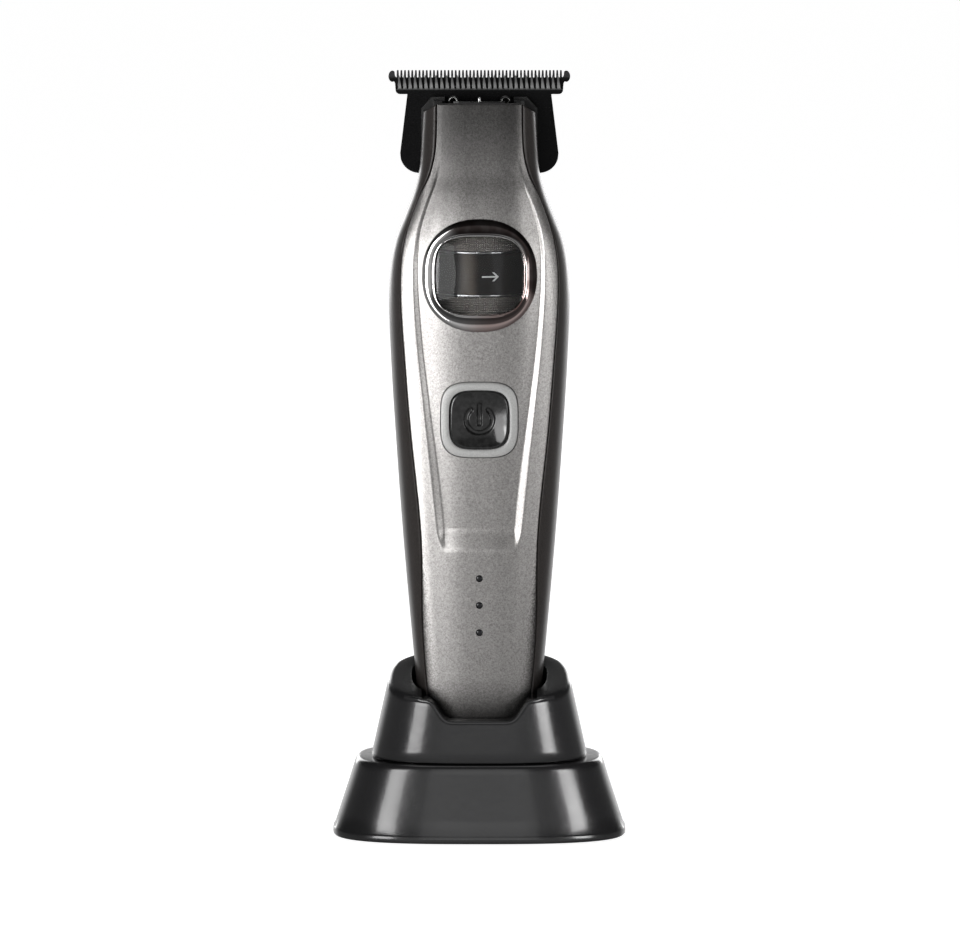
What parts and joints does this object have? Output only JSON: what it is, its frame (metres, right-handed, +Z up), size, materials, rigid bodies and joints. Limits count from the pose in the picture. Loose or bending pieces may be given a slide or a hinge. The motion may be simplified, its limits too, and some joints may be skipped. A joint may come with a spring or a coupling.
{
  "type": "hair clipper",
  "caption": "Cordless hair trimmer with a wide T-shaped blade, round-cornered window, push button and charge lights, standing upright in a two-tier charging dock.",
  "frame": {"origin": "centre of the bounding box at the level of the foot pad's underside", "axes": "+Z runs up through the dock and clipper to the blade teeth; the button side faces -Y; +Y points through the back of the clipper and is the object's thin direction"},
  "size_m": [0.065, 0.037, 0.1695],
  "materials": {
    "cover_silver": "satin metallic silver, front cover",
    "housing_graphite": "glossy graphite, rear housing",
    "cap_black": "satin black end cap",
    "insert_black": "satin black neck insert",
    "bezel_chrome": "polished window bezel",
    "lens_clear": "clear window",
    "ring_satin": "satin light grey button ring",
    "button_black": "gloss black button",
    "led_smoke": "dark light pipe",
    "board_green": "solder mask green circuit board",
    "switch_black": "black switch",
    "cell_sleeve": "blue shrink sleeve on a steel cell",
    "cradle_grey": "grey battery cradle",
    "can_steel": "motor can",
    "ring_gunmetal": "knurled gunmetal ring",
    "label_black": "gloss black band",
    "stator_copper": "copper winding",
    "mount_grey": "grey bulkhead",
    "bearing_brass": "bronze bush",
    "magnet_grey": "sintered magnet",
    "cam_steel": "hardened cam",
    "blade_black": "black coated blade steel",
    "yoke_white": "white acetal",
    "bright_steel": "bright steel",
    "contact_gold": "gold plated contact",
    "barrel_brass": "brass barrel",
    "dock_black_gloss": "gloss black dock",
    "dock_floor_black": "textured black floor",
    "black_rubber": "soft black foot",
    "contact_block_black": "matt black contact block"
  },
  "bodies": {
    "dock": {"dock_base": "dock_black_gloss", "dock_cradle": "dock_black_gloss", "dock_floor_plate": "dock_floor_black", "dock_foot_pad": "black_rubber", "dock_screw_left": "bright_steel", "dock_screw_right": "bright_steel", "contact_block": "contact_block_black", "contact_barrel_left": "barrel_brass", "contact_barrel_right": "barrel_brass", "contact_spring_left": "bright_steel", "contact_spring_right": "bright_steel", "dock_pcb": "board_green", "dock_inlet": "bright_steel"},
    "contact_left": {"contact_pin_left": "contact_gold"},
    "contact_right": {"contact_pin_right": "contact_gold"},
    "clipper": {"front_cover": "cover_silver", "rear_housing": "housing_graphite", "bottom_cap": "cap_black", "neck_insert": "insert_black", "window_bezel": "bezel_chrome", "window_lens": "lens_clear", "button_ring": "ring_satin", "main_pcb": "board_green", "tact_switch": "switch_black", "charge_led_1": "led_smoke", "charge_led_2": "led_smoke", "charge_led_3": "led_smoke", "battery_cell": "cell_sleeve", "battery_cradle": "cradle_grey", "motor_mount": "mount_grey", "motor_can": "can_steel", "motor_ring_upper": "ring_gunmetal", "motor_ring_lower": "ring_gunmetal", "motor_label_band": "label_black", "motor_stator": "stator_copper", "motor_bearing": "bearing_brass", "charge_board": "board_green", "charging_port": "bright_steel", "charge_plate_left": "contact_gold", "charge_plate_right": "contact_gold", "fixed_blade": "blade_black", "blade_screw_left": "bright_steel", "blade_screw_right": "bright_steel", "housing_screw_left": "bright_steel", "housing_screw_right": "bright_steel", "tension_spring": "bright_steel", "spring_post": "bright_steel"},
    "power_button": {"power_button": "button_black"},
    "rotor": {"motor_rotor": "magnet_grey", "motor_shaft": "bright_steel", "eccentric_cam": "cam_steel"},
    "cutter": {"moving_blade": "blade_black", "cutter_yoke": "yoke_white"}
  },
  "joints": [
    {"name": "clipper_lift", "type": "slide", "parent": "dock", "child": "clipper", "axis": [0, 0, 1], "range_m": [0, 0.03]},
    {"name": "power_button_press", "type": "slide", "parent": "clipper", "child": "power_button", "axis": [0, 1, 0], "range_m": [0, 0.0006], "stiffness_N_per_m": 1500, "springref_m": -0.0005},
    {"name": "rotor_spin", "type": "hinge", "parent": "clipper", "child": "rotor", "pos_m": [0, 0, 0.13], "axis": [0, 0, 1], "continuous": true},
    {"name": "cutter_slide", "type": "slide", "parent": "clipper", "child": "cutter", "axis": [1, 0, 0], "range_m": [-0.0008, 0.0008]},
    {"name": "contact_pin_left_press", "type": "slide", "parent": "dock", "child": "contact_left", "axis": [0, 0, 1], "range_m": [-0.0009, 0], "stiffness_N_per_m": 300, "springref_m": 0.001, "deforming": ["contact_spring_left"]},
    {"name": "contact_pin_right_press", "type": "slide", "parent": "dock", "child": "contact_right", "axis": [0, 0, 1], "range_m": [-0.0009, 0], "stiffness_N_per_m": 300, "springref_m": 0.001, "deforming": ["contact_spring_right"]}
  ],
  "couplings": [
    {"joint": "contact_pin_right_press", "follows": "contact_pin_left_press", "ratio": 1}
  ]
}
